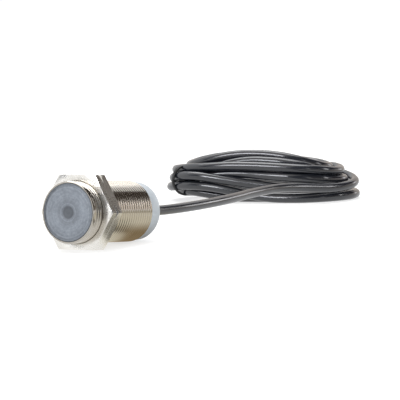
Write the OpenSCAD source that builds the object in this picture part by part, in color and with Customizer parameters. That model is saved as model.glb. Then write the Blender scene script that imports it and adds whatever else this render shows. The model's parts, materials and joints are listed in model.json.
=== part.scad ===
// Inductive proximity sensor with a 30 mm threaded barrel, two lock nuts
// and a moulded cable that is wound into a tied hank behind it.
// It lies on a level surface, on the rear nut and on the back edge of the barrel.
// +Y runs from the sensing face to the cable and +Z is up.

/* [Barrel] */
// Diameter of the barrel over its thread
barrel_d = 30; // [28:0.5:34]
// Length of the metal barrel
barrel_len = 52; // [46:1:70]
// Wall of the barrel between its bore and its outside
barrel_wall = 1.8; // [1.5:0.1:2.2]
// Bevel round both ends of the barrel
barrel_bevel = 0.4; // [0.2:0.05:0.6]
// Width of the metal rim that stands round the sensing face
rim_w = 0.9; // [0.7:0.05:1.2]

/* [Sensing face] */
// Thickness of the flange that fills the mouth of the barrel
face_flange_t = 3; // [2.5:0.25:4]
// Thickness of plastic in front of the coil
face_wall = 1; // [0.8:0.1:1.5]
// Wall of the skirt that carries the coil
face_skirt_wall = 1; // [0.8:0.05:1.2]
// Length of the skirt behind the flange
face_skirt_len = 6.5; // [5.5:0.25:9]
// Bevel round the edge of the face
face_bevel = 0.3; // [0.1:0.05:0.4]
// Diameter of the fine groove round the face
face_ring_d = 25; // [22:0.2:26]
// Width of that groove
face_ring_w = 0.6; // [0.4:0.1:0.8]
// Diameter of the shallow mark in the middle of the face
face_spot_d = 6.8; // [4:0.1:10]
// Depth of the shallow mark
face_spot_depth = 0.25; // [0.1:0.05:0.4]

/* [Coil] */
// Thickness of the shield ring round the core
shield_t = 0.5; // [0.3:0.05:0.7]
// Height of the ferrite pot core
core_h = 7.2; // [6.5:0.1:7.6]
// Wall round the outside of the core
core_wall = 1.4; // [1:0.1:2]
// Thickness of the back of the core
core_back_t = 1.8; // [1.4:0.1:2.4]
// Diameter of the post in the middle of the core
core_post_d = 8.4; // [6:0.2:9]
// Diameter of the hole through the post
core_hole_d = 3; // [2:0.1:4]
// Width of the two wire slots in the back of the core
core_slot_w = 2.6; // [2:0.1:4]
// Thickness of the bobbin's hub and flanges
bobbin_wall = 0.5; // [0.4:0.05:0.8]
// How far the winding stays inside the bobbin's flanges
winding_inset = 0.7; // [0.3:0.1:1.2]
// Diameter of the two fine coil wires
coil_wire_d = 0.4; // [0.3:0.05:0.5]

/* [Electronics] */
// Thickness of the circuit board
board_t = 1.2; // [1:0.1:1.6]
// Width of the circuit board
board_w = 22.4; // [20:0.2:23]
// Width of the board's tongue inside the end cap
tongue_w = 15; // [13:0.5:18]
// Corner cuts of the board
board_corner = 1.5; // [0.5:0.25:3]
// How far the potting reaches over each edge of the board
board_hold = 1.4; // [1:0.1:2]
// Height of the hollow in the potting, over both sides of the board
pocket_h = 9.2; // [8:0.2:12]
// Space between the board and both ends of the potting
board_gap = 0.5; // [0.3:0.1:1]
// Space between the board and the grommet's flange
board_end_gap = 3.4; // [2.6:0.2:4]

/* [End cap] */
// How far the end cap stays inside the barrel's outside
cap_step = 0.8; // [0.5:0.1:1.2]
// Length of the end cap behind the barrel
cap_len = 9; // [9:0.5:14]
// Wall of the end cap
cap_wall = 1.8; // [1.4:0.1:2.2]
// Rounding of the cap's rear edge
cap_round = 2; // [0.5:0.25:3]
// Length of the plug that the cap pushes into the barrel
cap_plug_len = 6; // [5:0.5:7]
// Wall of that plug
cap_plug_wall = 1.6; // [1.4:0.1:1.8]
// Thickness of the rubber seal rings
seal_d = 0.9; // [0.7:0.05:1]

/* [Cable] */
// Diameter of the cable's jacket
cable_d = 5; // [4.6:0.1:5.4]
// Diameter of each insulated core
core_d = 1.5; // [1.2:0.1:1.6]
// Diameter of the bare copper strand in a core
strand_d = 0.7; // [0.5:0.05:0.8]
// Length of jacket inside the end cap, in front of the grommet
entry_reach = 1.7; // [1:0.1:2.4]
// Length of the three cores between that jacket and their pads
wire_len = 4.5; // [3.5:0.1:6]
// Length of bare strand at the end of each free core
strand_len = 6; // [4:0.5:10]
// Length of the grommet's nose behind the cap
nose_len = 8; // [6:0.5:12]
// Diameter of the nose where it leaves the cap
nose_root_d = 8.4; // [8:0.1:9.5]
// Diameter of the nose at its tip
nose_tip_d = 6.4; // [6:0.1:7]
// Depth of the grooves round the nose
nose_groove = 0.5; // [0.2:0.05:0.6]
// Number of grooves round the nose
nose_grooves = 3; // [1:1:3]
// Diameter of the grommet's flange inside the cap
grommet_flange_d = 13; // [11:0.5:16]
// Thickness of that flange
grommet_flange_t = 1.6; // [1.2:0.1:2]

/* [Lock nuts] */
// Size of the nuts across their flats
nut_af = 36; // [35:0.5:41]
// Thickness of each nut
nut_t = 4.4; // [3.5:0.1:6]
// Distance from the sensing face to the front nut
nut_setback = 7.25; // [2:0.25:20]
// How far outside the flats the corner bevel between the nuts begins
nut_bevel_step = 1; // [0.3:0.1:1.5]
// Slope of the corner bevel
nut_bevel_angle = 30; // [20:1:35]
// How far outside the flats the light bevel of a nut's outer face begins
nut_face_step = 0.8; // [0.3:0.1:1.5]
// Slope of that light bevel
nut_face_angle = 12; // [5:1:20]
// Width of the countersink at both ends of a nut's bore
nut_countersink = 0.3; // [0.1:0.05:0.6]

/* [Cable hank] */
// Distance between the centres of the hank's two round ends
hank_span = 51; // [40:1:70]
// Radius of the hank's outline at its ends
hank_outer_r = 27.5; // [25:0.5:32]
// Width of the bundle of turns
hank_bundle_w = 15; // [12:0.5:18]
// Height of the hank
hank_h = 25; // [20:1:30]
// How much slimmer the bundle is where the tie holds it
waist_step = 0.1; // [0.1:0.1:2]
// Height of the middle of that bundle
waist_z = 12; // [9:0.5:14]
// Thickness of the tie's wire
tie_d = 1.2; // [0.8:0.1:1.4]
// Room between the tie and the full bundle on either side
tie_space = 0.8; // [0.5:0.1:2]

/* [Clearances] */
// Running clearance between the barrel and the bore of a nut
nut_clear = 0.05; // [0.02:0.01:0.1]
// Clearance round the pieces that slide into the barrel
slide_clear = 0.05; // [0.03:0.01:0.1]
// Clearance between the sensing face and the rim
rim_clear = 0.1; // [0.05:0.01:0.15]
// Clearance on either side of a rubber ring in its groove
seal_clear = 0.1; // [0.05:0.01:0.15]
// Clearance between the lead and the outermost turn of the hank
hank_clear = 0.4; // [0.1:0.1:1]
// Clearance between the end of the jacket and each free core
core_clear = 0.3; // [0.2:0.1:0.6]

/* [Hidden] */
$fn = 96;

// Stations along the sensor's axis, counted from the sensing face
barrel_r = barrel_d / 2;
bore_r = barrel_r - barrel_wall;
face_r = barrel_r - rim_w - rim_clear;
face_ring_r = face_ring_d / 2;
skirt_r = bore_r - slide_clear;
skirt_bore_r = skirt_r - face_skirt_wall;
skirt_end = face_flange_t + face_skirt_len;
shield_r = skirt_bore_r - slide_clear;
core_r = shield_r - shield_t - slide_clear;
core_end = face_wall + core_h;
channel_end = core_end - core_back_t;
channel_r = core_r - core_wall;
bobbin_r = channel_r - slide_clear;
bobbin_hub_r = core_post_d / 2 + slide_clear;
winding_r = bobbin_r - winding_inset;
winding_hub_r = bobbin_hub_r + bobbin_wall;
winding_end = channel_end - bobbin_wall;

cap_r = barrel_r - cap_step;
cap_end = barrel_len + cap_len;
cap_plug_start = barrel_len - cap_plug_len;
plug_r = bore_r - slide_clear;
plug_bore_r = plug_r - cap_plug_wall;
cap_floor = cap_end - cap_wall;
seal_groove_w = seal_d + 2 * seal_clear;
face_seal_at = (face_flange_t + skirt_end) / 2;
cap_seal_at = cap_plug_start + cap_plug_len / 2;

cable_r = cable_d / 2;
nose_root_r = nose_root_d / 2;
nose_tip_r = nose_tip_d / 2;
nose_end = cap_end + nose_len;
grommet_start = cap_floor - grommet_flange_t;
entry_start = grommet_start - entry_reach;
wire_start = entry_start - wire_len;

// The board stands between the core and the grommet
potting_start = skirt_end + slide_clear;
potting_end = cap_plug_start - slide_clear;
board_start = potting_start + board_gap;
board_shoulder = potting_end - board_gap;
board_end = grommet_start - board_end_gap;
pocket_w = board_w - 2 * board_hold;
lead_x = (winding_r + winding_hub_r) / 2;
lead_y = -(board_t / 2 + coil_wire_d / 2 + slide_clear);

front_nut_at = nut_setback;
rear_nut_at = nut_setback + nut_t;
nut_corner_r = nut_af / sqrt(3);
nut_bevel_r = nut_af / 2 + nut_bevel_step;
nut_face_r = nut_af / 2 + nut_face_step;
nut_bore_r = barrel_r + nut_clear;

// Slope at which the sensor lies: the rear nut's back edge and either the
// barrel's back edge or the cap's shoulder touch the surface
nut_back = rear_nut_at + nut_t;
rest_on_barrel = (nut_af / 2 - barrel_r) / (barrel_len - barrel_bevel - nut_back);
rest_on_cap = (nut_af / 2 - cap_r) / (cap_end - cap_round - nut_back);
tilt = atan(min(rest_on_barrel, rest_on_cap));
face_z = nut_back * sin(tilt) + nut_af / 2 * cos(tilt);

// The origin is under the middle of the sensor, from rim to nose
front_reach = -(barrel_r - barrel_bevel) * sin(tilt);
rear_reach = nose_end * cos(tilt) + nose_tip_r * sin(tilt);
face_y = -(front_reach + rear_reach) / 2;

// Free lead: places as [x, y behind the nose, height], from the nose to the hank
nose_tip = [0, face_y + nose_end * cos(tilt), face_z - nose_end * sin(tilt)];
lead_places = [
    [0, 7.6, 12.7], [0, 19.6, 12.1], [0, 31.6, 11.7], [0, 45.6, 11.5], [-0.5, 59.6, 11.4],
    [-1.5, 73.6, 11.3], [-3, 87.6, 11.3], [-5, 101.6, 11.3], [-7, 115.6, 11.4],
    [-8, 128.6, 11.4], [-8.3, 141.8, 11.3], [-6.9, 153.7, 10.7], [-4.3, 164.5, 9.8],
    [-1, 173.4, 8.9], [2.4, 181.8, 8.1]
];
lead_route = concat(
    [nose_tip + 2 * slide_clear * [0, cos(tilt), -sin(tilt)]],
    [for (p = lead_places) [p[0], nose_tip[1] + p[1], p[2]]]
);
lead_end = lead_route[len(lead_route) - 1];

// The hank lies so that its right end meets the lead: meet_angle is the
// direction of the lead's end seen from the middle of that round end
hank_turn = 10;
meet_angle = -33.8;
meet_r = hank_outer_r + cable_r + hank_clear;
hank_at = [
    lead_end[0] - meet_r * cos(meet_angle) - hank_span / 2 * cos(hank_turn),
    lead_end[1] - meet_r * sin(meet_angle) - hank_span / 2 * sin(hank_turn)
];
hank_mid_r = hank_outer_r - hank_bundle_w / 2;
hank_inner_r = hank_outer_r - hank_bundle_w;
waist_d = hank_bundle_w - waist_step;
waist_grip = 2;
tie_phase = 228;
tie_gap = 2 * (tie_d + tie_space);
tie_ring_r = waist_d / 2 + slide_clear + tie_d / 2;

// Route of the tail in the hank's own frame, from the right end to the left:
// places as [x, distance from the hank's wall]
tail_places = [[18, 0.3], [8, 0.9], [-2, 1.6], [-12, 2.3], [-22, 3]];
tail_route = [for (p = tail_places) [p[0], hank_outer_r + cable_r + p[1], cable_r]];
tail_end = tail_route[len(tail_route) - 1];
tube_sides = 10;

// Places the sensor's own frame, where Z runs from the face to the cable
// and -Y is up, at rest on the surface
module at_rest() {
    translate([0, face_y, face_z])
        rotate([-(90 + tilt), 0, 0])
            children();
}

// Places the hank's own frame, where X runs along its runs
module at_hank() {
    translate([hank_at[0], hank_at[1], 0])
        rotate([0, 0, hank_turn])
            children();
}

// Ring turned round the sensor's axis from a section of [radius, station] points
module turned(section) {
    rotate_extrude()
        polygon(section);
}

// Round bar between two points
module bar(from, to, d) {
    run = to - from;
    span = norm(run);
    translate(from)
        rotate([0, acos(run[2] / span), atan2(run[1], run[0])])
            cylinder(h = span, d = d, $fn = 24);
}

// Block on the upper side of the board: middle x, middle station, size along
// x, size along the axis, height, and height of its underside over the board
module on_board(x, s, w, l, h, lift = 0) {
    translate([x - w / 2, -board_t / 2 - lift - h, s - l / 2])
        cube([w, h, l]);
}

// Rubber ring that lies in its groove
module seal(groove_r, at) {
    rotate_extrude()
        translate([groove_r + seal_d / 2, at])
            circle(d = seal_d, $fn = 24);
}

module barrel() {
    color([0.72, 0.69, 0.63])
        at_rest()
            turned([
                [barrel_r - rim_w, 0],
                [barrel_r - barrel_bevel, 0],
                [barrel_r, barrel_bevel],
                [barrel_r, barrel_len - barrel_bevel],
                [barrel_r - barrel_bevel, barrel_len],
                [bore_r, barrel_len],
                [bore_r, face_flange_t],
                [barrel_r - rim_w, face_flange_t]
            ]);
}

module sensing_face() {
    color([0.55, 0.58, 0.63])
        at_rest()
            turned([
                [0, face_spot_depth],
                [face_spot_d / 2 - face_spot_depth, face_spot_depth],
                [face_spot_d / 2, 0],
                [face_ring_r - face_ring_w / 2, 0],
                [face_ring_r, face_spot_depth],
                [face_ring_r + face_ring_w / 2, 0],
                [face_r - face_bevel, 0],
                [face_r, face_bevel],
                [face_r, face_flange_t],
                [skirt_r, face_flange_t],
                [skirt_r, face_seal_at - seal_groove_w / 2],
                [skirt_r - seal_d, face_seal_at - seal_groove_w / 2],
                [skirt_r - seal_d, face_seal_at + seal_groove_w / 2],
                [skirt_r, face_seal_at + seal_groove_w / 2],
                [skirt_r, skirt_end],
                [skirt_bore_r, skirt_end],
                [skirt_bore_r, face_wall],
                [0, face_wall]
            ]);
}

module face_seal() {
    color([0.1, 0.1, 0.1])
        at_rest()
            seal(skirt_r - seal_d, face_seal_at);
}

module shield_ring() {
    color([0.78, 0.66, 0.38])
        at_rest()
            turned([
                [shield_r - shield_t, face_wall],
                [shield_r, face_wall],
                [shield_r, skirt_end],
                [shield_r - shield_t, skirt_end]
            ]);
}

// Pot core, open to the front, with a slot in its back on either side
module ferrite_core() {
    color([0.2, 0.2, 0.22])
        at_rest()
            difference() {
                turned([
                    [core_hole_d / 2, face_wall],
                    [core_post_d / 2, face_wall],
                    [core_post_d / 2, channel_end],
                    [channel_r, channel_end],
                    [channel_r, face_wall],
                    [core_r, face_wall],
                    [core_r, core_end],
                    [core_hole_d / 2, core_end]
                ]);
                for (side = [-1, 1])
                    translate([side * lead_x - core_slot_w / 2, -core_slot_w / 2, channel_end - 0.01])
                        cube([core_slot_w, core_slot_w, core_back_t + 0.02]);
            }
}

module coil_bobbin() {
    color([0.85, 0.83, 0.75])
        at_rest()
            difference() {
                turned([
                    [bobbin_hub_r, face_wall],
                    [bobbin_r, face_wall],
                    [bobbin_r, face_wall + bobbin_wall],
                    [winding_hub_r, face_wall + bobbin_wall],
                    [winding_hub_r, winding_end],
                    [bobbin_r, winding_end],
                    [bobbin_r, channel_end],
                    [bobbin_hub_r, channel_end]
                ]);
                for (side = [-1, 1])
                    translate([side * lead_x, lead_y, winding_end - 0.01])
                        cylinder(h = bobbin_wall + 0.02, r = coil_wire_d, $fn = 24);
            }
}

module coil_winding() {
    color([0.72, 0.4, 0.2])
        at_rest()
            turned([
                [winding_hub_r, face_wall + bobbin_wall],
                [winding_r, face_wall + bobbin_wall],
                [winding_r, winding_end],
                [winding_hub_r, winding_end]
            ]);
}

// Two fine wires from the winding to the front of the board
module coil_leads() {
    color([0.75, 0.42, 0.22])
        at_rest()
            for (side = [-1, 1])
                translate([side * lead_x, lead_y, winding_end])
                    cylinder(h = board_start + 2 - winding_end, d = coil_wire_d, $fn = 24);
}

module circuit_board() {
    half = board_w / 2;
    neck = tongue_w / 2;
    color([0.1, 0.38, 0.2])
        at_rest()
            rotate([90, 0, 0])
                linear_extrude(height = board_t, center = true)
                    polygon([
                        [-half + board_corner, board_start],
                        [half - board_corner, board_start],
                        [half, board_start + board_corner],
                        [half, board_shoulder],
                        [neck, board_shoulder],
                        [neck, board_end - board_corner],
                        [neck - board_corner, board_end],
                        [-neck + board_corner, board_end],
                        [-neck, board_end - board_corner],
                        [-neck, board_shoulder],
                        [-half, board_shoulder],
                        [-half, board_start + board_corner]
                    ]);
}

// Eight-legged circuit that drives the coil
module oscillator_chip() {
    body_w = 3.9;
    body_l = 4.9;
    body_h = 1.4;
    leg_lift = 0.15;
    pitch = 1.27;
    at = board_start + 8;
    color([0.12, 0.12, 0.13])
        at_rest() {
            on_board(0, at, body_w, body_l, body_h, leg_lift);
            for (side = [-1, 1])
                for (k = [0:3]) {
                    s = at + (k - 1.5) * pitch;
                    on_board(side * (body_w / 2 + 0.2), s, 0.5, 0.4, 0.2, 0.6);
                    on_board(side * (body_w / 2 + 0.45), s, 0.2, 0.4, 0.8);
                    on_board(side * (body_w / 2 + 0.75), s, 0.5, 0.4, 0.2);
                }
        }
}

// Switching transistor with three legs and a cooling tab
module output_transistor() {
    body_w = 6.5;
    body_l = 3.5;
    body_h = 1.6;
    at = board_shoulder - 6;
    color([0.13, 0.13, 0.14])
        at_rest()
            translate([-3.5, 0, 0]) {
                on_board(0, at, body_w, body_l, body_h);
                on_board(0, at + body_l / 2 + 0.8, 3, 1.7, 0.3);
                for (k = [-1:1])
                    on_board(k * 2.3, at - body_l / 2 - 0.8, 0.7, 1.7, 0.3);
            }
}

// Chip with a metal cap over each end, lying along x
module chip(x, s, w, l, h) {
    pad_t = 0.05;
    on_board(x, s, w - 2 * pad_t, l, h);
    for (side = [-1, 1])
        on_board(x + side * (w / 2 - w / 8), s, w / 4, l, h + pad_t);
}

module capacitors() {
    color([0.76, 0.6, 0.35])
        at_rest() {
            chip(-7, board_start + 6, 2, 1.25, 1.1);
            chip(-7, board_start + 9, 2, 1.25, 1.1);
            chip(6.2, board_shoulder - 11, 3.5, 2.8, 1.9);
            chip(-6.4, board_shoulder - 12.5, 3.2, 1.6, 1.4);
        }
}

module resistors() {
    color([0.15, 0.15, 0.17])
        at_rest() {
            for (k = [0:3])
                chip(6.6, board_start + 4 + 2.3 * k, 1.6, 0.85, 0.5);
            for (k = [0:2])
                chip(-1 + 2.6 * k, board_start + 15, 1.6, 0.85, 0.5);
        }
}

// Two glass diodes against a reversed supply
module protection_diodes() {
    diode_d = 1.4;
    diode_l = 3.5;
    color([0.75, 0.35, 0.2])
        at_rest()
            for (k = [0, 1])
                translate([5.4 - diode_l / 2, -(board_t + diode_d) / 2, board_shoulder - 3 - 2.6 * k])
                    rotate([0, 90, 0])
                        cylinder(h = diode_l, d = diode_d, $fn = 32);
}

// Lamp that shines out through the end cap
module indicator_led() {
    led_w = 3.2;
    led_l = 1.6;
    led_h = 0.8;
    lens_d = 1.3;
    at = board_end - 2;
    color([0.95, 0.75, 0.2])
        at_rest() {
            on_board(tongue_w / 2 - 2.2, at, led_w, led_l, led_h);
            translate([tongue_w / 2 - 2.2, -board_t / 2 - led_h, at])
                rotate([90, 0, 0])
                    cylinder(h = 0.7, d = lens_d, $fn = 32);
        }
}

// Resin that fills the barrel and holds the board by its edges
module potting_compound() {
    groove_w = board_w + 2 * slide_clear;
    groove_t = board_t + 2 * slide_clear;
    fill_start = core_end + slide_clear;
    color([0.18, 0.19, 0.2])
        at_rest()
            difference() {
                turned([
                    [0, fill_start],
                    [core_r, fill_start],
                    [core_r, potting_start],
                    [plug_r, potting_start],
                    [plug_r, potting_end],
                    [0, potting_end]
                ]);
                translate([-pocket_w / 2, -pocket_h / 2, potting_start])
                    cube([pocket_w, pocket_h, potting_end - potting_start + 1]);
                translate([-groove_w / 2, -groove_t / 2, board_start - slide_clear])
                    cube([groove_w, groove_t, potting_end - board_start + 1]);
                for (side = [-1, 1])
                    translate([side * lead_x, lead_y, fill_start - 1])
                        cylinder(h = potting_start - fill_start + 2, r = coil_wire_d, $fn = 24);
            }
}

function rounding(r, s, radius, steps) = [
    for (k = [0:steps])
        [r - radius + radius * cos(90 * k / steps), s - radius + radius * sin(90 * k / steps)]
];

// Translucent cap: a plug for the barrel, a shoulder on its end and a cup
module end_cap() {
    bore = nose_root_r + slide_clear;
    color([0.8, 0.84, 0.87])
        at_rest()
            turned(concat(
                [
                    [plug_bore_r, cap_plug_start],
                    [plug_r, cap_plug_start],
                    [plug_r, cap_seal_at - seal_groove_w / 2],
                    [plug_r - seal_d, cap_seal_at - seal_groove_w / 2],
                    [plug_r - seal_d, cap_seal_at + seal_groove_w / 2],
                    [plug_r, cap_seal_at + seal_groove_w / 2],
                    [plug_r, barrel_len],
                    [cap_r, barrel_len]
                ],
                rounding(cap_r, cap_end, cap_round, 8),
                [
                    [bore, cap_end],
                    [bore, cap_floor],
                    [cap_r - cap_wall, cap_floor],
                    [cap_r - cap_wall, barrel_len + cap_wall],
                    [plug_bore_r, barrel_len]
                ]
            ));
}

module cap_seal() {
    color([0.1, 0.1, 0.1])
        at_rest()
            seal(plug_r - seal_d, cap_seal_at);
}

// Soft sleeve that holds the cable: a flange inside the cap and a grooved nose
module cable_grommet() {
    bore = cable_r + slide_clear;
    pitch = nose_len / (nose_grooves + 1);
    groove_half = pitch / 5;
    slope = (nose_root_r - nose_tip_r) / nose_len;
    grooves = [
        for (k = [1:nose_grooves])
            for (step = [-2, -1, 1, 2]) let (
                s = k * pitch + sign(step) * groove_half,
                sunk = abs(step) == 1 ? nose_groove : 0
            )
                [nose_root_r - slope * s - sunk, cap_end + s]
    ];
    color([0.12, 0.12, 0.13])
        at_rest()
            turned(concat(
                [
                    [bore, grommet_start],
                    [grommet_flange_d / 2, grommet_start],
                    [grommet_flange_d / 2, cap_floor],
                    [nose_root_r, cap_floor],
                    [nose_root_r, cap_end]
                ],
                grooves,
                [
                    [nose_tip_r, nose_end],
                    [bore, nose_end]
                ]
            ));
}

// Jacket of the cable inside the grommet
module cable_entry() {
    color([0.16, 0.16, 0.17])
        at_rest()
            translate([0, 0, entry_start])
                cylinder(h = nose_end - entry_start, r = cable_r);
}

// One of the three cores from the jacket to its pad on the board
module inner_wire(x, side) {
    y = board_t / 2 + slide_clear + core_d / 2;
    at_rest()
        translate([x, side * y, wire_start])
            cylinder(h = entry_start - wire_start, d = core_d, $fn = 32);
}

module wire_brown() {
    color([0.4, 0.24, 0.14])
        inner_wire(-0.6 * core_d, -1);
}

module wire_blue() {
    color([0.12, 0.25, 0.6])
        inner_wire(0.6 * core_d, -1);
}

module wire_black() {
    color([0.08, 0.08, 0.08])
        inner_wire(0, 1);
}

// Thin hexagon nut with bevelled corners on its inner side
module lock_nut() {
    edge_r = nut_corner_r + 1;
    sunk_r = nut_bore_r + nut_countersink;
    difference() {
        intersection() {
            cylinder(h = nut_t, r = nut_corner_r, $fn = 6);
            turned([
                [0, 0],
                [nut_face_r, 0],
                [edge_r, (edge_r - nut_face_r) * tan(nut_face_angle)],
                [edge_r, nut_t - (edge_r - nut_bevel_r) * tan(nut_bevel_angle)],
                [nut_bevel_r, nut_t],
                [0, nut_t]
            ]);
        }
        turned([
            [0, -1],
            [sunk_r + 1, -1],
            [nut_bore_r, nut_countersink],
            [nut_bore_r, nut_t - nut_countersink],
            [sunk_r + 1, nut_t + 1],
            [0, nut_t + 1]
        ]);
    }
}

module front_nut() {
    color([0.87, 0.86, 0.81])
        at_rest()
            translate([0, 0, front_nut_at])
                lock_nut();
}

module rear_nut() {
    color([0.87, 0.86, 0.81])
        at_rest()
            translate([0, 0, rear_nut_at + nut_t])
                rotate([180, 0, 0])
                    lock_nut();
}

function unit(v) = v / norm(v);

// Direction of a route at its point k
function heading(route, k) =
    let (last = len(route) - 1)
    unit(route[min(k + 1, last)] - route[max(k - 1, 0)]);

// Ring of points round a route's point k
function ring_points(route, k, r) =
    let (
        along = heading(route, k),
        across = unit(cross(along, [0, 0, 1])),
        over = cross(across, along)
    )
    [
        for (j = [0:tube_sides - 1])
            let (a = 360 * (j + 0.5) / tube_sides)
            route[k] + r * (cos(a) * across + sin(a) * over)
    ];

// Plain tube along a route
module tube(route, d) {
    rings = len(route);
    n = tube_sides;
    points = [for (k = [0:rings - 1]) each ring_points(route, k, d / 2)];
    walls = [
        for (k = [0:rings - 2])
            for (j = [0:n - 1])
                [k * n + j, k * n + (j + 1) % n, (k + 1) * n + (j + 1) % n, (k + 1) * n + j]
    ];
    start = [for (j = [n - 1:-1:0]) j];
    end = [for (j = [0:n - 1]) (rings - 1) * n + j];
    polyhedron(points = points, faces = concat([start], walls, [end]));
}

module cable_lead() {
    color([0.2, 0.2, 0.21])
        tube(lead_route, cable_d);
}

module cable_tail() {
    color([0.2, 0.2, 0.21])
        at_hank()
            tube(tail_route, cable_d);
}

// Outline with two straight sides and round ends
module round_ended(r) {
    square([hank_span, 2 * r], center = true);
    for (side = [-1, 1])
        translate([side * hank_span / 2, 0])
            circle(r = r);
}

// Places a frame on the bundle's middle line at the tie, with Z along the bundle
module at_tie() {
    translate([
        -hank_span / 2 + hank_mid_r * cos(tie_phase),
        hank_mid_r * sin(tie_phase),
        waist_z
    ])
        rotate([0, 0, tie_phase])
            rotate([90, 0, 0])
                children();
}

// Outer shape of all the turns, with a waist where the tie draws them in
module cable_hank() {
    color([0.2, 0.2, 0.21])
        at_hank() {
            difference() {
                linear_extrude(height = hank_h)
                    difference() {
                        round_ended(hank_outer_r);
                        round_ended(hank_inner_r);
                    }
                at_tie()
                    cube([hank_bundle_w + 4, 3 * hank_h, tie_gap], center = true);
            }
            at_tie()
                cylinder(h = tie_gap + 2 * waist_grip, d = waist_d, center = true);
        }
}

// Wire tie that goes round the bundle twice
module hank_tie() {
    color([0.06, 0.06, 0.06])
        at_hank()
            at_tie()
                for (side = [-1, 1])
                    translate([0, 0, side * 0.45 * tie_d])
                        rotate_extrude()
                            translate([tie_ring_r, 0])
                                circle(d = tie_d, $fn = 24);
}

// Stripped core at the tail's end: it leaves the jacket at one side and
// height, and its bare tip lies on the surface at another side
module free_core(side, z, tip_side, tip_z, reach) {
    from = tail_end + [-core_clear, side, z - cable_r];
    to = tail_end + [-reach, tip_side, tip_z - cable_r];
    along = unit(to - from);
    at_hank() {
        bar(from, to, core_d);
        bar(to - along, to + strand_len * along, strand_d);
    }
}

module core_brown() {
    color([0.4, 0.24, 0.14])
        free_core(-1.1, 1.7, -4, 0.95, 19);
}

module core_blue() {
    color([0.12, 0.25, 0.6])
        free_core(1.1, 1.7, 4, 0.95, 19);
}

module core_black() {
    color([0.08, 0.08, 0.08])
        free_core(0, 3.6, 0.2, 1.3, 18);
}

barrel();
sensing_face();
face_seal();
shield_ring();
ferrite_core();
coil_bobbin();
coil_winding();
coil_leads();
circuit_board();
oscillator_chip();
output_transistor();
capacitors();
resistors();
protection_diodes();
indicator_led();
potting_compound();
end_cap();
cap_seal();
cable_grommet();
cable_entry();
wire_brown();
wire_blue();
wire_black();
front_nut();
rear_nut();
cable_lead();
cable_hank();
hank_tie();
cable_tail();
core_brown();
core_blue();
core_black();
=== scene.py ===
"""Looks of a barrel proximity sensor and its tied lead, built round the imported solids."""

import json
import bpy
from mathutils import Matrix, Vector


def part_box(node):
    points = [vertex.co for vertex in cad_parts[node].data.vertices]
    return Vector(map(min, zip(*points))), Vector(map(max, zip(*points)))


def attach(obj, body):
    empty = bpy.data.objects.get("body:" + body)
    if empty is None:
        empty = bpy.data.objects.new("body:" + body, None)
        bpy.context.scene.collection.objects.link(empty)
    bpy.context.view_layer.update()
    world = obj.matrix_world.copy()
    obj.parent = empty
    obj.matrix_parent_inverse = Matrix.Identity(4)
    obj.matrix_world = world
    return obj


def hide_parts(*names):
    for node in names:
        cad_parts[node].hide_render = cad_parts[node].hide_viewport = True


bl_info = {
    "name": "Barrel Proximity Sensor",
    "version": (1, 0, 0),
    "blender": (4, 5, 0),
    "location": "View3D > Sidebar > Sensor",
    "description": "Dresses the threaded barrel, lock nuts, sensing face, end cap and tied lead of a sensor",
    "category": "Object",
}

from math import atan2, cos, degrees, pi, radians, sin, tan

import bmesh
import bpy
from bpy.props import FloatProperty, FloatVectorProperty, IntProperty, PointerProperty
from mathutils import Matrix, Vector

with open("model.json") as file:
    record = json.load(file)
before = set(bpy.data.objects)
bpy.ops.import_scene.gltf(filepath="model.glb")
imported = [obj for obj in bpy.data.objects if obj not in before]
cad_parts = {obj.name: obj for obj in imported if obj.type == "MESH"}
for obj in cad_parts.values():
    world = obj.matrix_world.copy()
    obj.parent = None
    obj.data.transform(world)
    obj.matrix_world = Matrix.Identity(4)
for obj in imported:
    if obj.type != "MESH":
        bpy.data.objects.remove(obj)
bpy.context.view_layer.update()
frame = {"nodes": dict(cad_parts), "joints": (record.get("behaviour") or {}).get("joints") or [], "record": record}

# The sensor's own frame, in mm: Z runs from the sensing face to the cable and -Y is up
JOINTS = {j["name"]: j for j in frame["joints"]}
MOUNTS = {m["name"]: m for m in frame["record"]["mounts"]}
AXIS = Vector(JOINTS["rear_nut_slide"]["axis"])
TILT = atan2(-AXIS.z, AXIS.y)
FACE = Vector((0, *MOUNTS["sensing_face"]["pos_m"][1:]))
LEAN = Matrix.Rotation(-(pi / 2 + TILT), 4, "X")
SENSOR = Matrix.Translation(FACE) @ LEAN @ Matrix.Scale(0.001, 4)

# Places along the sensor, in mm behind its face
NUTS_AT, BARREL_END, CAP_END, NOSE_END = 7.25, 52, 61, 69

# Radii of the turned pieces, in mm: the bore is wider round the face, and the face's skirt
# and the cap's plug have the same size, with grooves for the seals
BARREL_R, BORE_R, FACE_BORE_R, FACE_R, CAP_R = 15, 13.2, 14.1, 14, 14.2
PLUG_R, SEAL_R, JACKET_BORE_R = 13.15, 12.25, 2.55

# Depth of the wide part of the bore, and wall of the cap, in mm
SEAT, CAP_WALL = 3, 1.8

# The hank's frame, in mm: X runs along its turns, and the floor is at zero
HANK_LOW, HANK_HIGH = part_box("cable_hank")
HANK_AT = Vector(((HANK_LOW.x + HANK_HIGH.x) / 2, (HANK_LOW.y + HANK_HIGH.y) / 2, 0))
HANK_TURN = radians(10)
HANK = Matrix.Translation(HANK_AT) @ Matrix.Rotation(HANK_TURN, 4, "Z") @ Matrix.Scale(0.001, 4)

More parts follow.
